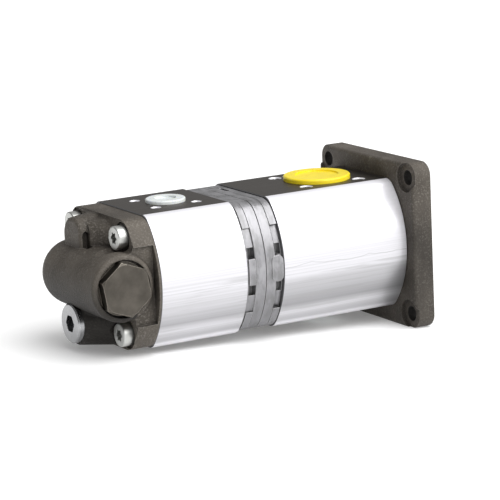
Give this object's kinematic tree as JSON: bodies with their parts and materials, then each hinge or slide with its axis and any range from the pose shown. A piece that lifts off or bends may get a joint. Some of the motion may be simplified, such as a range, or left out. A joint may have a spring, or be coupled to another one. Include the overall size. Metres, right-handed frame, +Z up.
{
  "type": "tandem gear pump",
  "caption": "Tandem external gear pump: extruded bodies in line on a square flange, joined by intermediate plates, with a cast valve cover at the rear and capped flange ports.",
  "frame": {"origin": "the drive shaft's axis at the flange's mounting face, at the foot of the pilot", "axes": "+X along the shaft out of the drive end, +Y from the drive shaft to the driven gears, +Z up to the inlet ports"},
  "size_m": [0.2483, 0.112, 0.1066],
  "materials": {
    "cast_dark": "fine sand-cast skin, dark grey-brown",
    "body_aluminium": "bright extruded, faint lengthwise streaks",
    "plate_diecast": "die-cast, satin",
    "block_aluminium": "turned, satin",
    "gear_steel": "ground and hardened",
    "spring_steel": "oiled spring steel",
    "bush_bronze": "bronze-lined",
    "seal_rubber": "matt",
    "screw_steel": "dull zinc plated",
    "plug_dark": "dark oiled steel",
    "plug_zinc": "bright zinc plated",
    "cap_yellow": "soft moulded",
    "cap_white": "natural translucent"
  },
  "bodies": {
    "housing": {"front_cover": "cast_dark", "rear_cover": "cast_dark", "front_body": "body_aluminium", "rear_body": "body_aluminium", "intermediate_front": "plate_diecast", "intermediate_rear": "plate_diecast", "bearing_block_front_front": "block_aluminium", "bearing_block_front_back": "block_aluminium", "bearing_block_rear_front": "block_aluminium", "bearing_block_rear_back": "block_aluminium", "dowel_pins": "gear_steel", "retaining_ring": "spring_steel", "valve_spring": "spring_steel", "bush_drive_front_front": "bush_bronze", "bush_drive_front_back": "bush_bronze", "bush_drive_rear_front": "bush_bronze", "bush_drive_rear_back": "bush_bronze", "bush_driven_front_front": "bush_bronze", "bush_driven_front_back": "bush_bronze", "bush_driven_rear_front": "bush_bronze", "bush_driven_rear_back": "bush_bronze", "axial_seal_front_front": "seal_rubber", "axial_seal_front_back": "seal_rubber", "axial_seal_rear_front": "seal_rubber", "axial_seal_rear_back": "seal_rubber", "seal_front_cover": "seal_rubber", "seal_front_body": "seal_rubber", "seal_seam": "seal_rubber", "seal_rear_body": "seal_rubber", "seal_rear_cover": "seal_rubber", "shaft_seal": "seal_rubber", "pilot_o_ring": "seal_rubber", "valve_plug_seal": "seal_rubber", "socket_plug_seal": "seal_rubber", "cover_screws": "screw_steel", "valve_plug": "plug_dark", "socket_plug": "plug_zinc", "port_cap_front_top": "cap_yellow", "port_cap_rear_top": "cap_white", "port_cap_front_bottom": "cap_white", "port_cap_rear_bottom": "cap_white"},
    "drive_train": {"drive_shaft": "gear_steel", "coupling": "gear_steel", "drive_gear_rear": "gear_steel"},
    "driven_front": {"driven_gear_front": "gear_steel"},
    "driven_rear": {"driven_gear_rear": "gear_steel"},
    "spool": {"valve_spool": "gear_steel"}
  },
  "joints": [
    {"name": "drive_spin", "type": "hinge", "parent": "housing", "child": "drive_train", "pos_m": [0, 0, 0], "axis": [1, 0, 0], "continuous": true},
    {"name": "driven_front_spin", "type": "hinge", "parent": "housing", "child": "driven_front", "pos_m": [-0.0594, 0.04, 0], "axis": [1, 0, 0], "continuous": true},
    {"name": "driven_rear_spin", "type": "hinge", "parent": "housing", "child": "driven_rear", "pos_m": [-0.16035, 0.04, 0], "axis": [1, 0, 0], "continuous": true},
    {"name": "spool_slide", "type": "slide", "parent": "housing", "child": "spool", "axis": [0, -1, 0], "range_m": [0, 0.006], "stiffness_N_per_m": 2000, "springref_m": -0.006, "deforming": ["valve_spring"]}
  ],
  "couplings": [
    {"joint": "driven_front_spin", "follows": "drive_spin", "ratio": -1},
    {"joint": "driven_rear_spin", "follows": "drive_spin", "ratio": -1}
  ]
}
